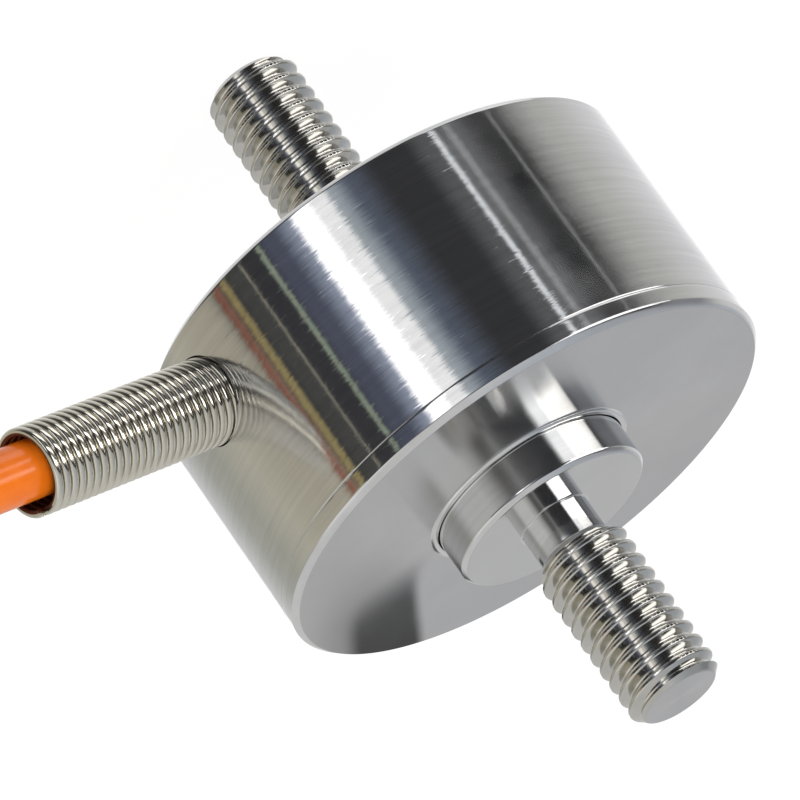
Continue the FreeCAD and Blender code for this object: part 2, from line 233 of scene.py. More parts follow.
cable_data = bpy.data.curves.new("orange_cable", "CURVE")
cable_data.dimensions = "3D"
cable_data.bevel_depth = CABLE_R * MM
cable_data.bevel_resolution = 7
cable_data.resolution_u = 5
cable_data.use_fill_caps = True
line = cable_data.splines.new("NURBS")
line_points = cable_line()
line.points.add(len(line_points) - 1)
for knot, point in zip(line.points, line_points):
    knot.co = (*(point * MM), 1.0)
line.order_u = 3
line.use_endpoint_u = True
cable = bpy.data.objects.new("orange_cable", cable_data)
bpy.context.collection.objects.link(cable)


# Shaping tools

def begin(name, add, **options):
    """A fresh primitive under its own name, alone in the selection."""
    bpy.ops.object.select_all(action="DESELECT")
    add(**options)
    piece = bpy.context.object
    piece.name = name
    piece.data.name = name
    return piece


def pick(piece):
    bpy.ops.object.select_all(action="DESELECT")
    piece.select_set(True)
    bpy.context.view_layer.objects.active = piece


def draw_section(name, outline):
    """An open chain of edges through corners given as radius and level, left in edit mode and selected."""
    piece = begin(name, bpy.ops.mesh.primitive_plane_add, size=2 * MM)
    bpy.ops.object.mode_set(mode="EDIT")
    bpy.ops.mesh.merge(type="CENTER")
    here = Vector((outline[0][0], 0, outline[0][1])) * MM
    bpy.ops.transform.translate(value=here)
    for radius, level in outline[1:]:
        there = Vector((radius, 0, level)) * MM
        bpy.ops.mesh.extrude_vertices_move(TRANSFORM_OT_translate={"value": there - here})
        here = there
    bpy.ops.mesh.select_all(action="SELECT")
    return piece


def tidy_mesh():
    """Welds what meets and turns the faces outwards, in edit mode, then leaves it."""
    bpy.ops.mesh.select_all(action="SELECT")
    bpy.ops.mesh.remove_doubles(threshold=WELD)
    bpy.ops.mesh.normals_make_consistent(inside=False)
    bpy.ops.object.mode_set(mode="OBJECT")


def hold_corners(outline):
    """The outline with two more points on each long straight, close to its ends, which keep its shading true."""
    held = []
    for start, end in zip(outline, outline[1:]):
        start, end = Vector(start), Vector(end)
        length = (end - start).length
        shares = (0, HOLD / length, 1 - HOLD / length) if length > 6 * HOLD else (0,)
        held += [start.lerp(end, share) for share in shares]
    return held + [Vector(outline[-1])]


def turned(name, outline, steps=ROUND_STEPS):
    """Half a section spun round the load axis, as on a lathe."""
    piece = draw_section(name, hold_corners(outline))
    bpy.ops.mesh.spin(steps=steps, angle=math.tau, center=(0, 0, 0), axis=(0, 0, 1))
    tidy_mesh()
    return piece


def wound(name, outline, pitch, turns, steps_per_turn):
    """A closed section wound round the Z axis as a right-hand helix with flat ends."""
    piece = draw_section(name, outline + outline[:1])
    bpy.ops.mesh.remove_doubles(threshold=WELD)
    bpy.ops.object.mode_set(mode="OBJECT")
    screw = piece.modifiers.new("winding", "SCREW")
    screw.angle = math.tau * turns
    screw.screw_offset = pitch * turns * MM
    screw.steps = round(turns * steps_per_turn)
    screw.render_steps = screw.steps
    bpy.ops.object.modifier_apply(modifier="winding")
    bpy.ops.object.mode_set(mode="EDIT")
    bpy.ops.mesh.select_mode(type="EDGE")
    bpy.ops.mesh.select_all(action="DESELECT")
    bpy.ops.mesh.select_non_manifold()
    bpy.ops.mesh.fill_holes(sides=0)
    bpy.ops.mesh.select_mode(type="VERT")
    tidy_mesh()
    return piece


def combine(piece, tool, operation):
    """A tool is cut from the piece or joined to it, and is then used up."""
    pick(piece)
    step = piece.modifiers.new("combining", "BOOLEAN")
    step.operation = operation
    step.solver = "EXACT"
    step.object = tool
    bpy.ops.object.modifier_apply(modifier="combining")
    bpy.data.objects.remove(tool)


def break_edges(piece, width, segments=2, angle=24.0):
    """A small round on every edge that is sharper than an angle."""
    pick(piece)
    rounding = piece.modifiers.new("rounding", "BEVEL")
    rounding.width = width * MM
    rounding.segments = segments
    rounding.limit_method = "ANGLE"
    rounding.angle_limit = math.radians(angle)
    rounding.use_clamp_overlap = True
    bpy.ops.object.modifier_apply(modifier="rounding")


def smooth(piece, angle=28.0):
    """Smooth shading that leaves the large faces true and bends only over the small rounds."""
    pick(piece)
    bpy.ops.object.shade_smooth_by_angle(angle=math.radians(angle))
    truing = piece.modifiers.new("truing", "WEIGHTED_NORMAL")
    truing.keep_sharp = True
    bpy.ops.object.modifier_apply(modifier="truing")


def settle(piece, matrix):
    """Moves a piece by a matrix given in millimetres and leaves its place in its mesh."""
    place = matrix.copy()
    place.translation = matrix.translation * MM
    piece.matrix_world = place
    pick(piece)
    bpy.ops.object.transform_apply(location=True, rotation=True, scale=True)


def along_axis(origin, ahead, side):
    """A frame at an origin whose Z axis points ahead and whose X axis is on a side."""
    ahead = ahead.normalized()
    side = (side - ahead * ahead.dot(side)).normalized()
    frame_axes = Matrix((side, ahead.cross(side), ahead)).transposed().to_4x4()
    frame_axes.translation = origin
    return frame_axes


def exit_frame(along):
    ahead = exit_point(1) - exit_point(0)
    return along_axis(exit_point(along), ahead, Vector((0, 0, -1)))


def cut_thread(blank, bottom, top):
    """Cuts the groove of a right-hand thread into a blank between two levels."""
    section = [(radius, bottom - half) for radius, half in GROOVE_SIDE]
    section += [(radius, bottom + half) for radius, half in reversed(GROOVE_SIDE)]
    groove = wound("thread_groove", section, THREAD_PITCH, (top - bottom) / THREAD_PITCH, THREAD_STEPS)
    combine(blank, groove, "DIFFERENCE")


def drill(piece, radius, start, depth):
    """A round hole along the cable axis, from a distance outside the wall to a depth behind it."""
    bit = begin("drill_bit", bpy.ops.mesh.primitive_cylinder_add, vertices=96, radius=radius * MM,
                depth=(start + depth) * MM)
    settle(bit, exit_frame((start - depth) / 2))
    combine(piece, bit, "DIFFERENCE")


def paint(piece, finishes, choose):
    """Gives a piece its finishes, each face by its middle in millimetres and its normal."""
    names = list(finishes)
    for name in names:
        piece.data.materials.append(finishes[name])
    for face in piece.data.polygons:
        face.material_index = names.index(choose(face.center / MM, face.normal))


# Shader tools

def add_node(tree, kind, settings=None, **inputs):
    """A node with its settings; its inputs go by their names, or by i and their number."""
    node = tree.nodes.new(kind)
    for key, setting in (settings or {}).items():
        setattr(node, key, setting)
    for key, setting in inputs.items():
        numbered = key[0] == "i" and key[1:].isdigit()
        socket = node.inputs[int(key[1:]) if numbered else key.replace("_", " ")]
        if isinstance(setting, bpy.types.NodeSocket):
            tree.links.new(setting, socket)
        else:
            socket.default_value = setting
    return node


def math_node(tree, operation, first, second=0.0):
    return add_node(tree, "ShaderNodeMath", {"operation": operation}, i0=first, i1=second).outputs[0]


def new_group(name, inputs, outputs):
    """A shader node group with value inputs and their defaults, and value outputs."""
    group = bpy.data.node_groups.new(name, "ShaderNodeTree")
    for label, default in inputs.items():
        socket = group.interface.new_socket(name=label, in_out="INPUT", socket_type="NodeSocketFloat")
        socket.default_value = default
    for label in outputs:
        group.interface.new_socket(name=label, in_out="OUTPUT", socket_type="NodeSocketFloat")
    return group, group.nodes.new("NodeGroupInput").outputs, group.nodes.new("NodeGroupOutput").inputs


def use_group(tree, group, **inputs):
    return add_node(tree, "ShaderNodeGroup", {"node_tree": group}, **inputs).outputs


def make_turning_marks():
    """Fine lines round the load axis, as a tool leaves them on a turned side, and their patchy sheen."""
    group, given, result = new_group("turning_marks", {"Lines": 9000.0, "Sweep": 60.0},
                                     ["Height", "Sheen", "Strokes"])
    place = add_node(group, "ShaderNodeSeparateXYZ", i0=add_node(group, "ShaderNodeTexCoord").outputs["Object"]).outputs
    stretched = add_node(
        group, "ShaderNodeCombineXYZ",
        X=math_node(group, "MULTIPLY", place[0], given["Sweep"]),
        Y=math_node(group, "MULTIPLY", place[1], given["Sweep"]),
        Z=math_node(group, "MULTIPLY", place[2], given["Lines"]),
    ).outputs[0]
    lines = add_node(group, "ShaderNodeTexNoise", Vector=stretched, Scale=1.0, Detail=4.0, Roughness=0.65)
    group.links.new(lines.outputs[0], result["Height"])
    wide = add_node(group, "ShaderNodeVectorMath", {"operation": "MULTIPLY"}, i0=stretched, i1=(0.9, 0.9, 0.16))
    sheen = add_node(group, "ShaderNodeTexNoise", Vector=wide.outputs[0], Scale=1.0, Detail=3.0, Roughness=0.6)
    group.links.new(sheen.outputs[0], result["Sheen"])
    short = add_node(group, "ShaderNodeVectorMath", {"operation": "MULTIPLY"}, i0=stretched, i1=(9.0, 9.0, 0.8))
    strokes = add_node(group, "ShaderNodeTexNoise", Vector=short.outputs[0], Scale=1.0, Detail=3.0, Roughness=0.7)
    group.links.new(strokes.outputs[0], result["Strokes"])
    return group


def make_facing_marks():
    """Fine rings round the load axis, as a tool leaves them on a faced end."""
    group, given, result = new_group("facing_marks", {"Rings": 9000.0, "Sweep": 90.0}, ["Height"])
    place = add_node(group, "ShaderNodeTexCoord").outputs["Object"]
    flat = add_node(group, "ShaderNodeVectorMath", {"operation": "MULTIPLY"}, i0=place, i1=(1.0, 1.0, 0.0)).outputs[0]
    radius = add_node(group, "ShaderNodeVectorMath", {"operation": "LENGTH"}, i0=flat).outputs["Value"]
    around = add_node(group, "ShaderNodeVectorMath", {"operation": "SCALE"}, i0=flat, Scale=given["Sweep"]).outputs[0]
    around = add_node(group, "ShaderNodeSeparateXYZ", i0=around).outputs
    stretched = add_node(
        group, "ShaderNodeCombineXYZ", X=around[0], Y=around[1],
        Z=math_node(group, "MULTIPLY", radius, given["Rings"]),
    ).outputs[0]
    rings = add_node(group, "ShaderNodeTexNoise", Vector=stretched, Scale=1.0, Detail=3.0, Roughness=0.6)
    group.links.new(rings.outputs[0], result["Height"])
    return group


def make_handling_haze():
    """Soft cloudy patches and specks, as handled metal and plastic have."""
    group, given, result = new_group("handling_haze", {"Scale": 300.0}, ["Cloud", "Speck"])
    place = add_node(group, "ShaderNodeTexCoord").outputs["Object"]
    cloud = add_node(group, "ShaderNodeTexNoise", Vector=place, Scale=given["Scale"], Detail=5.0, Roughness=0.6)
    group.links.new(cloud.outputs[0], result["Cloud"])
    fine = math_node(group, "MULTIPLY", given["Scale"], 9.0)
    speck = add_node(group, "ShaderNodeTexNoise", Vector=place, Scale=fine, Detail=3.0, Roughness=0.7)
    group.links.new(speck.outputs[0], result["Speck"])
    return group


TURNING_MARKS = make_turning_marks()
FACING_MARKS = make_facing_marks()
HANDLING_HAZE = make_handling_haze()


def new_finish(name, color, metallic, **sockets):
    """A material with one shader, whose plain values are set on the shader itself."""
    material = bpy.data.materials.new(name)
    material.use_nodes = True
    tree = material.node_tree
    shader = tree.nodes["Principled BSDF"]
    shader.inputs["Base Color"].default_value = (*color, 1.0)
    shader.inputs["Metallic"].default_value = metallic
    for key, setting in sockets.items():
        shader.inputs[key.replace("_", " ")].default_value = setting
    return material, tree, shader


def soft_step(tree, source, start, end):
    """A soft rise from 0 at the start to 1 at the end."""
    return add_node(tree, "ShaderNodeMapRange", {"interpolation_type": "SMOOTHSTEP"}, Value=source, From_Min=start,
                    From_Max=end).outputs[0]


def spread(tree, source, low, high):
    """A mask spread between two values."""
    return add_node(tree, "ShaderNodeMapRange", Value=source, From_Min=0.3, From_Max=0.7,
                    To_Min=low, To_Max=high).outputs[0]


def mix_colors(tree, share, first, second):
    return add_node(tree, "ShaderNodeMix", {"data_type": "RGBA"}, i0=share, i6=first, i7=second).outputs[2]


def tint(tree, source, dark, light):
    """A mask turned into a colour between two tones."""
    factor = spread(tree, source, 0.0, 1.0)
    return mix_colors(tree, factor, (*dark, 1.0), (*light, 1.0))


def press(tree, height, depth):
    """A bump of a depth in millimetres."""
    return add_node(tree, "ShaderNodeBump", Height=height, Distance=depth * MM, Strength=1.0).outputs[0]


def vector_node(tree, operation, first, second):
    return add_node(tree, "ShaderNodeVectorMath", {"operation": operation}, i0=first, i1=second).outputs


def round_axis(tree):
    """The way round the load axis at each place on the surface."""
    return add_node(tree, "ShaderNodeTangent", {"direction_type": "RADIAL", "axis": "Z"}).outputs[0]


def turned_steel(name, dark, light, rough, strokes, spread_along, lines, depth):
    """Steel with tool lines round the axis: the gloss spreads across the lines and stays sharp along them. Some
    strokes lean to a side and comb the edges of what the steel mirrors."""
    material, tree, shader = new_finish(name, light, 1.0, Anisotropic=spread_along, Anisotropic_Rotation=0.25)
    marks = use_group(tree, TURNING_MARKS, Lines=lines, Sweep=70.0)
    haze = use_group(tree, HANDLING_HAZE, Scale=260.0)
    around = round_axis(tree)
    tree.links.new(around, shader.inputs["Tangent"])
    tree.links.new(tint(tree, marks["Sheen"], dark, light), shader.inputs["Base Color"])
    tree.links.new(spread(tree, haze["Cloud"], rough * 0.85, rough * 1.25), shader.inputs["Roughness"])
    lean = math_node(tree, "SUBTRACT", marks["Strokes"], 0.5)
    lean = math_node(tree, "MULTIPLY", math_node(tree, "POWER", lean, 3.0), strokes)
    sideways = add_node(tree, "ShaderNodeVectorMath", {"operation": "SCALE"}, i0=around, Scale=lean).outputs[0]
    normal = add_node(tree, "ShaderNodeNewGeometry").outputs["Normal"]
    leaning = vector_node(tree, "ADD", normal, sideways)[0]
    leaning = add_node(tree, "ShaderNodeVectorMath", {"operation": "NORMALIZE"}, i0=leaning).outputs[0]
    pressed = press(tree, marks["Height"], depth)
    tree.links.new(leaning, pressed.node.inputs["Normal"])
    tree.links.new(pressed, shader.inputs["Normal"])
    return material


def faced_steel(name, dark, light, rough, spread_along, rings, depth):
    """Steel faced flat on a lathe: the gloss spreads across the rings and stays sharp along them."""
    material, tree, shader = new_finish(name, light, 1.0, Anisotropic=spread_along, Anisotropic_Rotation=0.25)
    tree.links.new(round_axis(tree), shader.inputs["Tangent"])
    marks = use_group(tree, FACING_MARKS, Rings=rings)
    haze = use_group(tree, HANDLING_HAZE, Scale=180.0)
    tree.links.new(tint(tree, haze["Cloud"], dark, light), shader.inputs["Base Color"])
    tree.links.new(spread(tree, haze["Cloud"], rough * 0.88, rough * 1.12), shader.inputs["Roughness"])
    tree.links.new(press(tree, marks["Height"], depth), shader.inputs["Normal"])
    return material


def bright_steel(name, dark, light, rough, depth):
    """Steel cut with a sharp tool or drawn bright, almost a mirror."""
    material, tree, shader = new_finish(name, light, 1.0)
    haze = use_group(tree, HANDLING_HAZE, Scale=420.0)
    tree.links.new(tint(tree, haze["Cloud"], dark, light), shader.inputs["Base Color"])
    tree.links.new(spread(tree, haze["Cloud"], rough * 0.75, rough * 1.3), shader.inputs["Roughness"])
    tree.links.new(press(tree, haze["Cloud"], depth), shader.inputs["Normal"])
    return material


def paint_jacket_reflection(material, color):
    """Paints a dim, shaded reflection of the jacket that it lies round into the colour of the inner side of the
    spring's wire, and makes the gloss rougher there.
    """
    tree = material.node_tree
    shader = tree.nodes["Principled BSDF"]
    place = add_node(tree, "ShaderNodeTexCoord").outputs["Object"]
    off = vector_node(tree, "SUBTRACT", place, exit_point(0) * MM)[0]
    off = vector_node(tree, "CROSS_PRODUCT", off, exit_point(1) - exit_point(0))[0]
    radius = add_node(tree, "ShaderNodeVectorMath", {"operation": "LENGTH"}, i0=off).outputs["Value"]
    near, far = ((SPRING_R - depth * SPRING_WIRE) * MM for depth in reversed(JACKET_REFLECTION_DEPTHS))
    inner = add_node(tree, "ShaderNodeMapRange", Value=radius, From_Min=near, From_Max=far, To_Min=1.0,
                     To_Max=0.0).outputs[0]
    color_below, rough_below = (shader.inputs[key].links[0].from_socket for key in ("Base Color", "Roughness"))
    tree.links.new(mix_colors(tree, inner, color_below, (*color, 1.0)), shader.inputs["Base Color"])
    rough = add_node(tree, "ShaderNodeMix", i0=inner, i2=rough_below, i3=JACKET_REFLECTION_ROUGHNESS).outputs[0]
    tree.links.new(rough, shader.inputs["Roughness"])


def moulded_plastic(name, dark, light, rough, grain, depth):
    material, tree, shader = new_finish(name, light, 0.0)
    haze = use_group(tree, HANDLING_HAZE, Scale=grain)
    tree.links.new(tint(tree, haze["Cloud"], dark, light), shader.inputs["Base Color"])
    tree.links.new(spread(tree, haze["Cloud"], rough * 0.85, rough * 1.2), shader.inputs["Roughness"])
    tree.links.new(press(tree, haze["Speck"], depth), shader.inputs["Normal"])
    return material


SIDE_STEEL = turned_steel(
    "turned_side_steel", (0.64, 0.64, 0.64), (0.74, 0.74, 0.735),
    rough=0.085, strokes=4.5, spread_along=1.0, lines=16000.0, depth=0.0005,
)
COVER_STEEL = faced_steel(
    "ground_cover_steel", (0.545, 0.545, 0.55), (0.60, 0.60, 0.605),
    rough=0.16, spread_along=1.0, rings=12000.0, depth=0.0002,
)
PLAIN_FACE_STEEL = faced_steel(
    "plain_face_steel", (0.66, 0.66, 0.65), (0.74, 0.74, 0.73),
    rough=0.2, spread_along=0.8, rings=9000.0, depth=0.0006,
)
BRIGHT_EDGE_STEEL = bright_steel(
    "bright_edge_steel", (0.72, 0.72, 0.72), (0.80, 0.80, 0.80), rough=0.14, depth=0.0004,
)
BOSS_STEEL = turned_steel(
    "turned_boss_steel", (0.68, 0.68, 0.68), (0.76, 0.76, 0.755),
    rough=0.06, strokes=0.6, spread_along=0.5, lines=14000.0, depth=0.0002,
)
BOSS_FACE_STEEL = faced_steel(
    "faced_boss_steel", (0.60, 0.60, 0.60), (0.65, 0.65, 0.65),
    rough=0.11, spread_along=0.9, rings=14000.0, depth=0.0001,
)
THREAD_STEEL = bright_steel(
    "cut_thread_steel", (0.59, 0.575, 0.54), (0.68, 0.665, 0.63), rough=0.1, depth=0.0002,
)
SPRING_STEEL = bright_steel(
    "spring_wire_steel", (0.71, 0.675, 0.59), (0.79, 0.755, 0.665), rough=0.08, depth=0.0002,
)
# the inner side of the spring's wire gets a painted reflection of the orange jacket, dark as in shade
paint_jacket_reflection(SPRING_STEEL, (0.17, 0.035, 0.012))
ORANGE_JACKET = moulded_plastic(
    "orange_jacket", (0.79, 0.155, 0.007), (0.87, 0.195, 0.010), rough=0.22, grain=700.0, depth=0.003,
)
TIE_NYLON = moulded_plastic(
    "black_tie_nylon", (0.012, 0.012, 0.012), (0.022, 0.022, 0.022), rough=0.38, grain=500.0, depth=0.004,
)
SLEEVE_BLACK = moulded_plastic(
    "shrunk_sleeve_black", (0.010, 0.010, 0.011), (0.020, 0.020, 0.021), rough=0.45, grain=900.0, depth=0.006,
)
TINNED_COPPER = bright_steel(
    "tinned_copper", (0.62, 0.62, 0.61), (0.78, 0.78, 0.76), rough=0.28, depth=0.002,
)
BOARD_GREEN = moulded_plastic(
    "board_green", (0.008, 0.075, 0.028), (0.014, 0.105, 0.040), rough=0.4, grain=600.0, depth=0.002,
)
RESISTOR_BLACK = moulded_plastic(
    "resistor_black", (0.010, 0.010, 0.012), (0.022, 0.022, 0.024), rough=0.5, grain=2000.0, depth=0.002,
)
GAUGE_FOIL = moulded_plastic(
    "gauge_foil", (0.42, 0.20, 0.03), (0.55, 0.28, 0.05), rough=0.35, grain=1500.0, depth=0.001,
)
PIN_BRASS = bright_steel(
    "plated_pin", (0.70, 0.52, 0.22), (0.80, 0.62, 0.30), rough=0.22, depth=0.001,
)
LEAD_COLOURS = {
    "red": ((0.42, 0.012, 0.010), (0.52, 0.020, 0.016)),
    "black": ((0.010, 0.010, 0.010), (0.020, 0.020, 0.020)),
    "green": ((0.010, 0.13, 0.030), (0.016, 0.18, 0.044)),
    "white": ((0.72, 0.72, 0.70), (0.82, 0.82, 0.80)),
}
LEAD_JACKETS = {
    colour: moulded_plastic(f"{colour}_lead_jacket", dark, light, rough=0.36, grain=1200.0, depth=0.003)
    for colour, (dark, light) in LEAD_COLOURS.items()
}


# Housing with its fixed stud

housing = turned("housing_body", [
    (0, 0), (HOUSING_R - RIM_CHAMFER, 0), (HOUSING_R, RIM_CHAMFER), (HOUSING_R, EXIT_LEVEL - HOLE_ROOM),
    (HOUSING_R, EXIT_LEVEL + HOLE_ROOM), (HOUSING_R, HOUSING_TOP), (SEAT_R, HOUSING_TOP), (SEAT_R, SEAT_LEVEL),
    (CAVITY_R, SEAT_LEVEL), (CAVITY_R, FLOOR_THICK), (0, FLOOR_THICK),
])
break_edges(housing, EDGE_BREAK)
fixed_stud = turned("fixed_stud", [
    (0, FIXED_STUD_TIP), (STUD_R - STUD_CHAMFER, FIXED_STUD_TIP), (STUD_R, FIXED_STUD_TIP + STUD_CHAMFER),
    (STUD_R, STUD_ROOT), (0, STUD_ROOT),
], steps=128)
break_edges(fixed_stud, STUD_EDGE_BREAK)
cut_thread(fixed_stud, *FIXED_GROOVE)
combine(housing, fixed_stud, "UNION")
drill(housing, SPRING_R + SPRING_CLEARANCE, DRILL_LEAD_IN, SPRING_SEAT_DEPTH)
drill(housing, CABLE_R + CABLE_CLEARANCE, DRILL_LEAD_IN, HOUSING_R - CAVITY_R + CABLE_R)
smooth(housing)


def flat_or_side(normal):
    if abs(normal.z) > FLAT:
        return "face"
    return "edge" if abs(normal.z) > SLOPED else "side"


def housing_finish(middle, normal):
    if middle.z < -0.01:
        return "stud"
    return flat_or_side(normal)


paint(housing, {
    "side": SIDE_STEEL, "face": PLAIN_FACE_STEEL, "edge": BRIGHT_EDGE_STEEL, "stud": THREAD_STEEL,
}, housing_finish)

# Cover plate with its collar

cover = turned("cover_disc", [
    (COVER_BORE_R, HOUSING_TOP), (HOUSING_R, HOUSING_TOP), (HOUSING_R, COVER_TOP - RIM_CHAMFER),
    (HOUSING_R - RIM_CHAMFER, COVER_TOP), (COLLAR_R, COVER_TOP),
    (COLLAR_R - COLLAR_SHOULDER[0], COVER_TOP + COLLAR_SHOULDER[1]), (COLLAR_R - COLLAR_ROUND, COLLAR_TOP),
    (COVER_BORE_R, COLLAR_TOP), (COVER_BORE_R, HOUSING_TOP),
])
break_edges(cover, EDGE_BREAK)
smooth(cover)


def cover_finish(middle, normal):
    radius = math.hypot(middle.x, middle.y)
    if radius < COLLAR_R + 0.1:
        return "edge" if middle.z > COVER_TOP + 0.005 else "face"
    return flat_or_side(normal)


paint(cover, {"side": SIDE_STEEL, "face": COVER_STEEL, "edge": BRIGHT_EDGE_STEEL}, cover_finish)

# Sensing element with its boss, neck and loading stud

element = turned("sensing_boss", [
    (0, GAUGE_FACE), (RING_BORE_R, GAUGE_FACE), (RING_BORE_R, SEAT_LEVEL), (RING_R, SEAT_LEVEL), (RING_R, HOUSING_TOP),
    (RING_BORE_R, HOUSING_TOP), (RING_BORE_R, DIAPHRAGM_TOP), (BOSS_R, DIAPHRAGM_TOP),
    (BOSS_R, BOSS_FACE - BOSS_CHAMFER), (BOSS_R - BOSS_CHAMFER, BOSS_FACE), (NECK_R, BOSS_FACE), (NECK_R, NECK_TOP),
    (STUD_R, THREAD_START), (STUD_R, LOADING_STUD_TIP - STUD_CHAMFER), (STUD_R - STUD_CHAMFER, LOADING_STUD_TIP),
    (0, LOADING_STUD_TIP),
], steps=192)
break_edges(element, EDGE_BREAK)
cut_thread(element, *LOADING_GROOVE)
smooth(element)


def element_finish(middle, normal):
    radius = math.hypot(middle.x, middle.y)
    if middle.z > NECK_TOP:
        return "tip" if normal.z > FLAT and middle.z > LOADING_STUD_TIP - 0.1 else "thread"
    if radius > NECK_R + 0.1 and normal.z > FLAT:
        return "face"
    if radius > BOSS_R - BOSS_CHAMFER - 0.1 and normal.z > SLOPED:
        return "edge"
    return "boss"


paint(element, {
    "boss": BOSS_STEEL, "face": BOSS_FACE_STEEL, "edge": BRIGHT_EDGE_STEEL, "thread": THREAD_STEEL, "tip": COVER_STEEL,
}, element_finish)

# Guard spring of round wire

spring_height = SPRING_SEAT_DEPTH + SPRING_REACH - SPRING_WIRE
spring_turns = spring_height / SPRING_PITCH
wire_section = []
for side in range(WIRE_SIDES):
    lean = math.tau * side / WIRE_SIDES
    out, up = (math.copysign(abs(share) ** WIRE_FULLNESS, share) for share in (math.cos(lean), math.sin(lean)))
    wire_section.append((SPRING_R - SPRING_WIRE / 2 + SPRING_WIRE / 2 * out, SPRING_WIRE / 2 + SPRING_WIRE / 2 * up))
spring = wound("guard_spring", wire_section, SPRING_PITCH, spring_turns, SPRING_STEPS)
smooth(spring, 50.0)
spring_turn = Matrix.Rotation(SPRING_END_ANGLE - math.tau * spring_turns, 4, "Z")
settle(spring, exit_frame(-SPRING_SEAT_DEPTH) @ spring_turn)
spring.data.materials.append(SPRING_STEEL)

# Tie round the coil

tie_middle = COIL_INNER_TURN + (COIL_COLUMNS - 1) * CABLE_R - TIE_SQUEEZE
tie_half_width = COIL_COLUMNS * CABLE_R + TIE_THICK
tie_half_height = COIL_ROWS * CABLE_R + TIE_THICK
tie_level = GROUND + TIE_LIFT + COIL_ROWS * CABLE_R
tie = begin("coil_tie", bpy.ops.mesh.primitive_cube_add, size=1)
tie.scale = (2 * tie_half_width * MM, TIE_WIDTH * MM, 2 * tie_half_height * MM)
bpy.ops.object.transform_apply(scale=True)
bpy.ops.object.mode_set(mode="EDIT")
bpy.ops.mesh.select_mode(type="FACE")
bpy.ops.mesh.select_all(action="DESELECT")
bpy.ops.object.mode_set(mode="OBJECT")
for face in tie.data.polygons:
    face.select = abs(face.normal.y) > 0.5
bpy.ops.object.mode_set(mode="EDIT")
bpy.ops.mesh.delete(type="ONLY_FACE")
bpy.ops.mesh.select_mode(type="EDGE")
bpy.ops.mesh.select_all(action="DESELECT")
bpy.ops.object.mode_set(mode="OBJECT")
for edge in tie.data.edges:
    first, second = (tie.data.vertices[corner].co for corner in edge.vertices)
    edge.select = abs(first.y - second.y) > MM
bpy.ops.object.mode_set(mode="EDIT")
bpy.ops.mesh.bevel(offset=(CABLE_R + TIE_THICK) * MM, segments=8, affect="EDGES")
bpy.ops.mesh.select_mode(type="VERT")
bpy.ops.object.mode_set(mode="OBJECT")
wall = tie.modifiers.new("strap_thickness", "SOLIDIFY")
wall.thickness = TIE_THICK * MM
wall.offset = -1.0
bpy.ops.object.modifier_apply(modifier="strap_thickness")
break_edges(tie, TIE_EDGE_BREAK)
head = begin("tie_head", bpy.ops.mesh.primitive_cube_add, size=1)
head.scale = Vector(TIE_HEAD) * MM
head.location = Vector((TIE_HEAD_SHIFT, 0, tie_half_height + TIE_HEAD_RISE)) * MM
bpy.ops.object.transform_apply(location=True, scale=True)
break_edges(head, TIE_HEAD_ROUND, segments=4)
combine(tie, head, "UNION")
smooth(tie, 40.0)
settle(tie, Matrix.Translation((COIL_CENTER[0] + tie_middle, COIL_CENTER[1], tie_level)))
tie.data.materials.append(TIE_NYLON)

# End sleeve and open leads

tail_ahead = (TAIL_END - TAIL_START).normalized()
tail_side = tail_ahead.cross(Vector((0, 0, 1))).normalized()


def tail_frame(along, across=0.0, up=0.0):
    lift = tail_side.cross(tail_ahead)
    return along_axis(TAIL_END + tail_ahead * along + tail_side * across + lift * up, tail_ahead, tail_side)


sleeve = turned("end_sleeve_shrunk", [
    (SLEEVE_BORE_R, 0), *SLEEVE_SIDE, (0, SLEEVE_LENGTH), (0, SLEEVE_OVERLAP), (SLEEVE_BORE_R, SLEEVE_OVERLAP),
    (SLEEVE_BORE_R, 0),
], steps=48)
break_edges(sleeve, SLEEVE_EDGE_BREAK)
smooth(sleeve, 40.0)
settle(sleeve, tail_frame(0))
sleeve.data.materials.append(SLEEVE_BLACK)
LEAD_PLACES = {"red": (-1, -1), "black": (-1, 1), "green": (1, -1), "white": (1, 1)}


def lead_finish(middle, normal):
    return "bare" if middle.z > LEAD_JACKET_END + 0.01 else "jacket"


leads = {}
for colour, (across, up) in LEAD_PLACES.items():
    lead = turned(f"open_lead_{colour}", [
        (0, 0), (LEAD_R, 0), (LEAD_R, LEAD_JACKET_END), (STRAND_R, LEAD_JACKET_END),
        (STRAND_END_R, LEAD_LENGTH - STRAND_TIP), (STRAND_TIP_R, LEAD_LENGTH), (0, LEAD_LENGTH),
    ], steps=28)
    break_edges(lead, EDGE_BREAK)
    smooth(lead, 40.0)
    paint(lead, {"jacket": LEAD_JACKETS[colour], "bare": TINNED_COPPER}, lead_finish)
    settle(lead, tail_frame(SLEEVE_LENGTH, across * LEAD_SPREAD, up * LEAD_SPREAD))
    leads[colour] = lead

# Inner pieces keep their solids and get their finishes

INNER_FINISHES = {
    "strain_gauge": GAUGE_FOIL, "gauge_ribbon": GAUGE_FOIL, "circuit_board": BOARD_GREEN, "solder_pin": PIN_BRASS,
    "cable_clamp": PIN_BRASS, "zero_resistor": RESISTOR_BLACK, "span_resistor": RESISTOR_BLACK,
    "temperature_resistor": RESISTOR_BLACK,
}
for name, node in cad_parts.items():
    finish = next((finish for start, finish in INNER_FINISHES.items() if name.startswith(start)), None)
    if name.startswith("core_"):
        finish = LEAD_JACKETS[name.split("_")[1]]
    if finish:
        node.data.materials.clear()
        node.data.materials.append(finish)

cable.data.materials.append(ORANGE_JACKET)
# the stored cable stays out of the mirror of the steel
for piece in (cable, tie, sleeve, *leads.values()):
    piece.visible_glossy = False

# Every piece rides on the one body and stands for its solids

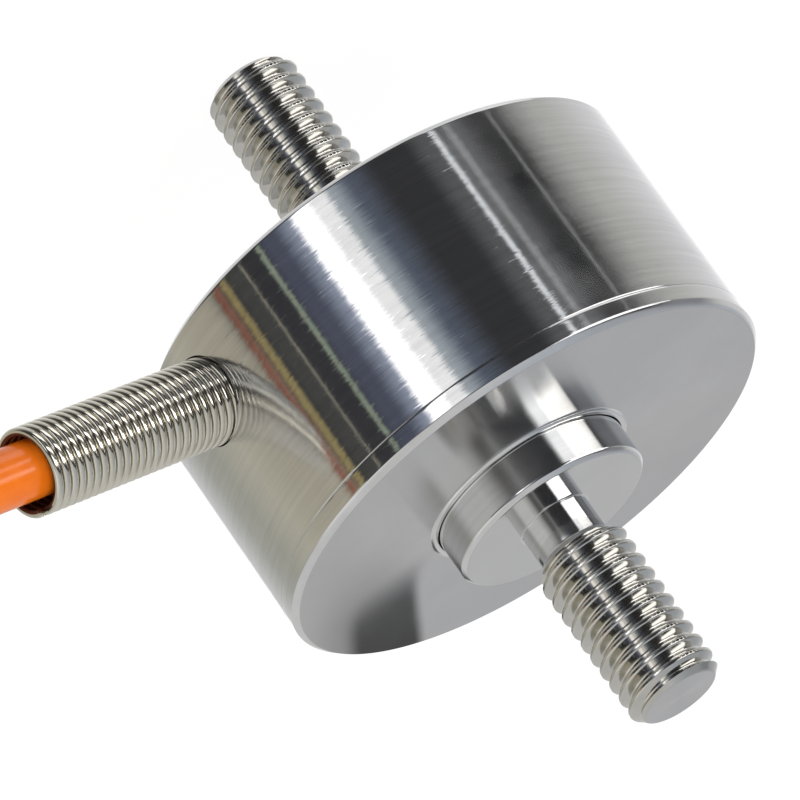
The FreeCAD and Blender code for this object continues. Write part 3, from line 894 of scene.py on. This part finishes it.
PIECES = [
    (housing, "ground_steel", ["housing"]),
    (cover, "cover_steel", ["cover_plate"]),
    (element, "element_steel", ["sensing_element"]),
    (spring, "spring_wire", ["strain_relief_spring"]),
    (cable, "cable_jacket", ["cable", "cable_coil", "cable_tail"]),
    (tie, "tie_plastic", ["cable_tie"]),
    (sleeve, "sleeve_plastic", ["end_sleeve"]),
]
PIECES += [(lead, f"{colour}_insulation", [f"lead_{colour}"]) for colour, lead in leads.items()]
for piece, slot, nodes in PIECES:
    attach(piece, "root")
    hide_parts(*nodes)

# Floor, studio light and world

# sizes and places of the floor and the key light are metres
FLOOR_SIZE = 6.0
FLOOR_WHITE = 0.95
CARD_TONE = 0.10
KEY_PLACE = Vector((0.34, -0.42, 0.60))
KEY_POWER = 4.0
KEY_SIZE = 0.5

scene = bpy.context.scene
scene.view_settings.view_transform = "Standard"


def grey(tone):
    return (tone, tone, tone, 1.0)


def finish_stage(tree, shader, output):
    """The last shader of a stage piece or of the world goes to the output."""
    tree.links.new(shader.outputs[0], add_node(tree, output).inputs["Surface"])


floor = begin("floor", bpy.ops.mesh.primitive_plane_add, size=FLOOR_SIZE,
              location=(0, 0, (GROUND - FLOOR_GAP) * MM))
floor_paint = bpy.data.materials.new("white_floor")
floor_paint.use_nodes = True
tree = floor_paint.node_tree
tree.nodes.clear()
to_camera = add_node(tree, "ShaderNodeLightPath").outputs["Is Camera Ray"]
plain = add_node(tree, "ShaderNodeBsdfDiffuse", Color=grey(0.8))
shaded = add_node(tree, "ShaderNodeBsdfDiffuse", Color=grey(0.10))
white = add_node(tree, "ShaderNodeEmission", Color=grey(1.0), Strength=FLOOR_WHITE)
seen = add_node(tree, "ShaderNodeAddShader", i0=shaded.outputs[0], i1=white.outputs[0])
blend = add_node(tree, "ShaderNodeMixShader", i0=to_camera, i1=plain.outputs[0], i2=seen.outputs[0])
# from below it is clear, so that the underside of the part can be seen
from_below = add_node(tree, "ShaderNodeNewGeometry").outputs["Backfacing"]
clear = add_node(tree, "ShaderNodeBsdfTransparent")
blend = add_node(tree, "ShaderNodeMixShader", i0=math_node(tree, "MULTIPLY", to_camera, from_below),
                 i1=blend.outputs[0], i2=clear.outputs[0])
finish_stage(tree, blend, "ShaderNodeOutputMaterial")
floor.data.materials.append(floor_paint)
floor.visible_glossy = False

# a dark block beside the part and the shade round it, seen only as a soft patch in the cover and the boss: for each
# the middle, its two sides, the soft share at the start, the end and the top, and how much it hides
DARK_CARDS = {
    "dark_block": ((2.15, 16.6, 17.89), (-7.7, 0, 2.12), (-3.8, 0, 6.6), (0.24, 0.16, 0.34), 1.0),
    "block_shade": ((2.6, 16.8, 20.2), (-12.0, 0, 2.6), (-5.0, 0, 8.6), (0.45, 0.45, 0.70), 0.42),
}
for name, (middle, across, upwards, (start, end, top), hides) in DARK_CARDS.items():
    card = begin(name, bpy.ops.mesh.primitive_plane_add, size=1.0)
    card.data.transform(Matrix((
        (across[0] * MM, upwards[0] * MM, 0, middle[0] * MM), (0, 0, 1, middle[1] * MM),
        (across[2] * MM, upwards[2] * MM, 0, middle[2] * MM), (0, 0, 0, 1),
    )))
    card_paint = bpy.data.materials.new(name)
    card_paint.use_nodes = True
    tree = card_paint.node_tree
    tree.nodes.clear()
    on_card = add_node(tree, "ShaderNodeTexCoord").outputs["UV"]
    along, up = add_node(tree, "ShaderNodeSeparateXYZ", i0=on_card).outputs[:2]
    share = hides
    for source, first, last in ((along, 0.0, start), (along, 1.0, 1.0 - end), (up, 1.0, 1.0 - top)):
        share = math_node(tree, "MULTIPLY", soft_step(tree, source, first, last), share)
    clear = add_node(tree, "ShaderNodeBsdfTransparent")
    dark = add_node(tree, "ShaderNodeEmission", Color=grey(CARD_TONE))
    blend = add_node(tree, "ShaderNodeMixShader", i0=share, i1=clear.outputs[0], i2=dark.outputs[0])
    finish_stage(tree, blend, "ShaderNodeOutputMaterial")
    card.data.materials.append(card_paint)
    card.visible_camera = card.visible_diffuse = card.visible_shadow = card.visible_transmission = False

# The part lies tilted in its studio: a pale table below, a white backdrop behind, a dark room in front, and soft
# boxes above, to the left and to the right. These are the studio's own right, up and front in the part's frame.
STUDIO_RIGHT = Vector((-0.7709, -0.3472, 0.5341))
STUDIO_UP = Vector((-0.2604, -0.5934, -0.7616))
STUDIO_FRONT = Vector((0.5813, -0.7262, 0.3670))
ROOM_BY_DEPTH = [
    (-1.0, (1.20, 1.20, 1.21)), (-0.95, (0.92, 0.92, 0.93)), (-0.88, (0.80, 0.80, 0.82)), (-0.69, (0.70, 0.70, 0.70)),
    (-0.48, (0.58, 0.58, 0.56)), (-0.37, (0.52, 0.52, 0.50)), (-0.25, (0.38, 0.38, 0.365)),
    (-0.13, (0.20, 0.20, 0.195)), (-0.01, (0.075, 0.076, 0.075)), (0.1, (0.05, 0.051, 0.054)),
    (1.0, (0.04, 0.04, 0.043)),
]
TABLE_BY_SIDE = [
    (-1.0, (0.45, 0.415, 0.325)), (-0.9, (0.53, 0.51, 0.42)), (-0.74, (0.435, 0.43, 0.375)),
    (-0.6, (0.455, 0.455, 0.415)), (-0.5, (0.525, 0.53, 0.50)), (-0.4, (0.59, 0.59, 0.58)), (-0.3, (0.64, 0.64, 0.64)),
    (0.1, (0.60, 0.60, 0.59)), (0.4, (0.63, 0.63, 0.635)), (0.75, (0.47, 0.505, 0.55)), (1.0, (0.39, 0.41, 0.43)),
]
# soft boxes: the way to the middle as right, up and front, the way along the longer side, half the length and
# half the width and the soft edge as tangents, and the light
SOFT_BOXES = [
    ((-0.55, -0.68, 0.48), (0, 0, 1), 0.42, 0.34, 0.20, (0.88, 0.88, 0.87)),
    ((-0.24, -0.20, 0.95), (0, 1, 0), 0.24, 0.14, 0.08, (0.16, 0.155, 0.15)),
    ((0.93, 0.28, 0.20), (0, 1, 0), 0.30, 0.30, 0.15, (0.105, 0.105, 0.11)),
    ((0.97, 0.06, -0.25), (0, 1, 0), 0.22, 0.22, 0.12, (0.24, 0.25, 0.27)),
    ((-0.10, 0.0, -1.0), (0.53, -0.76, 0.37), 0.15, 0.12, 0.09, (1.35, 1.35, 1.35)),
    ((0.954, 0.057, 0.291), (-0.742, -0.30, 0.60), 0.30, 0.11, 0.05, (0.06, 0.06, 0.065)),
    ((-0.51, 0.48, 0.71), (-0.34, 0.58, -0.63), 0.40, 0.10, 0.05, (2.0, 2.0, 2.05)),
    ((0.84, 0.31, 0.44), (0, 1, 0), 0.20, 0.12, 0.05, (0.90, 0.89, 0.84)),
    ((0.69, 0.31, 0.66), (0, 1, 0), 0.22, 0.155, 0.05, (2.3, 2.3, 2.3)),
    ((0.896, 0.303, 0.324), (-0.742, -0.30, 0.60), 0.30, 0.085, 0.04, (4.6, 4.5, 4.3)),
]
# boxes high above the part, which light the spring but not the housing's side
HIGH_BOXES = [
    ((0.751, 0.603, 0.267), (-0.742, -0.30, 0.60), 0.40, 0.12, 0.06, (0.34, 0.33, 0.32)),
    ((0.27, 0.937, -0.22), (-0.742, -0.30, 0.60), 0.42, 0.20, 0.03, (1.5, 1.5, 1.51)),
    ((0.641, 0.745, 0.184), (-0.742, -0.30, 0.60), 0.46, 0.085, 0.03, (3.0, 3.0, 3.02)),
]
# lights and edges that the housing's side shows as lines along its height: the azimuth on the side where each is
# seen, half its width and its soft edge in degrees, and the light
SIDE_LINES = [
    (-50.5, 9.0, 4.0, (0.12, 0.14, 0.185)), (-48.5, 5.8, 2.5, (0.44, 0.49, 0.53)),
    (-37.0, 3.5, 2.0, (0.09, 0.10, 0.14)), (-41.5, 2.0, 2.5, (0.34, 0.38, 0.48)),
    (-47.4, 3.8, 0.9, (1.12, 1.12, 1.12)), (-44.6, 2.2, 1.1, (2.0, 2.0, 2.05)),
    (-29.8, 2.2, 0.3, (0.045, 0.045, 0.05)), (-32.8, 0.55, 0.2, (0.30, 0.35, 0.27)),
    (-25.5, 1.9, 0.2, (0.07, 0.07, 0.068)), (-27.4, 0.06, 0.05, (1.15, 1.06, 0.80)),
    (-21.7, 0.85, 0.45, (0.34, 0.275, 0.12)), (-19.2, 0.75, 1.15, (0.29, 0.085, 0.048)),
    (-78.3, 6.0, 2.5, (0.12, 0.125, 0.13)), (-80.9, 0.75, 0.5, (0.33, 0.335, 0.34)),
    (-77.4, 0.6, 0.3, (0.95, 0.98, 1.02)), (-90.3, 3.6, 3.0, (0.008, 0.008, 0.009)),
    (-91.6, 0.3, 0.2, (0.30, 0.30, 0.31)),
]
# the side mirrors only ways between these levels, given as the two ends of the soft lower and upper edge; lines
# narrower than the limit in degrees keep to the thin belt
WIDE_BELT = ((-0.62, -0.50), (-0.02, -0.10))
THIN_BELT = ((-0.52, -0.43), (-0.22, -0.31))
THIN_LINE = 1.3
# the soft edge of the table by height, and how squarely a way has to face a soft box to see it
TABLE_EDGE = (-0.11, -0.05)
BOX_FACING = (0.02, 0.06)
studio = bpy.data.worlds.new("studio")
scene.world = studio
studio.use_nodes = True
tree = studio.node_tree
tree.nodes.clear()
way = add_node(tree, "ShaderNodeTexCoord").outputs["Generated"]


def share_along(axis):
    """How far a way in the studio points along an axis."""
    return add_node(tree, "ShaderNodeVectorMath", {"operation": "DOT_PRODUCT"}, i0=way, i1=axis).outputs["Value"]


def in_studio(direction):
    right, up, front = direction
    return (STUDIO_RIGHT * right + STUDIO_UP * up + STUDIO_FRONT * front).normalized()


def light_ramp(source, stops):
    """Light that changes along a source from -1 to 1."""
    place = add_node(tree, "ShaderNodeMapRange", Value=source, From_Min=-1.0, From_Max=1.0).outputs[0]
    ramp = add_node(tree, "ShaderNodeValToRGB", Fac=place)
    elements = ramp.color_ramp.elements
    while len(elements) < len(stops):
        elements.new(1.0)
    for stop, (at, color) in zip(elements, stops):
        stop.position = (at + 1.0) / 2.0
        stop.color = (*color, 1.0)
    return ramp.outputs[0]


above_table = soft_step(tree, share_along(STUDIO_UP), *TABLE_EDGE)
light = mix_colors(tree, above_table, light_ramp(share_along(STUDIO_RIGHT), TABLE_BY_SIDE),
                   light_ramp(share_along(STUDIO_FRONT), ROOM_BY_DEPTH))
# a way's turn round the load axis gives the place on the side that mirrors it to the camera
x_share, y_share, z_share = add_node(tree, "ShaderNodeSeparateXYZ", i0=way).outputs
turn = math_node(tree, "DEGREES", math_node(tree, "ARCTAN2", y_share, x_share))
front_turn = math.degrees(math.atan2(STUDIO_FRONT.y, STUDIO_FRONT.x))
mirrored_at = math_node(tree, "MULTIPLY", math_node(tree, "ADD", turn, front_turn), 0.5)
wide_belt, thin_belt = (
    math_node(tree, "MULTIPLY", soft_step(tree, z_share, *low), soft_step(tree, z_share, *high))
    for low, high in (WIDE_BELT, THIN_BELT)
)


def with_box(light, middle, longer, half_length, half_width, edge, color, share=1.0):
    """The light with one more soft box in it."""
    middle = in_studio(middle)
    longer = in_studio(longer)
    longer = (longer - middle * middle.dot(longer)).normalized()
    ahead = share_along(middle)
    share = math_node(tree, "MULTIPLY", soft_step(tree, ahead, *BOX_FACING), share)
    ahead = math_node(tree, "MAXIMUM", ahead, BOX_FACING[0])
    for axis, half in ((longer, half_length), (middle.cross(longer), half_width)):
        off = math_node(tree, "ABSOLUTE", math_node(tree, "DIVIDE", share_along(axis), ahead))
        share = math_node(tree, "MULTIPLY", soft_step(tree, off, half + edge, half - edge), share)
    return mix_colors(tree, share, light, (*color, 1.0))


for box in SOFT_BOXES:
    light = with_box(light, *box)
for azimuth, half, edge, color in SIDE_LINES:
    off = math_node(tree, "ABSOLUTE", math_node(tree, "SUBTRACT", mirrored_at, azimuth))
    belt = thin_belt if half < THIN_LINE else wide_belt
    share = math_node(tree, "MULTIPLY", soft_step(tree, off, half + edge, half - edge), belt)
    light = mix_colors(tree, share, light, (*color, 1.0))
off_the_side = math_node(tree, "SUBTRACT", 1.0, thin_belt)
for box in HIGH_BOXES:
    light = with_box(light, *box, off_the_side)
room = add_node(tree, "ShaderNodeBackground", Color=light, Strength=1.0)
white = add_node(tree, "ShaderNodeBackground", Color=grey(1.0), Strength=1.0)
to_camera = add_node(tree, "ShaderNodeLightPath").outputs["Is Camera Ray"]
blend = add_node(tree, "ShaderNodeMixShader", i0=to_camera, i1=room.outputs[0], i2=white.outputs[0])
finish_stage(tree, blend, "ShaderNodeOutputWorld")

key_data = bpy.data.lights.new("key_light", "AREA")
key_data.energy = KEY_POWER
key_data.size = KEY_SIZE
key = bpy.data.objects.new("key_light", key_data)
key.location = KEY_PLACE
key.rotation_euler = KEY_PLACE.to_track_quat("Z", "Y").to_euler()
key.visible_glossy = False
key.visible_camera = False
bpy.context.collection.objects.link(key)
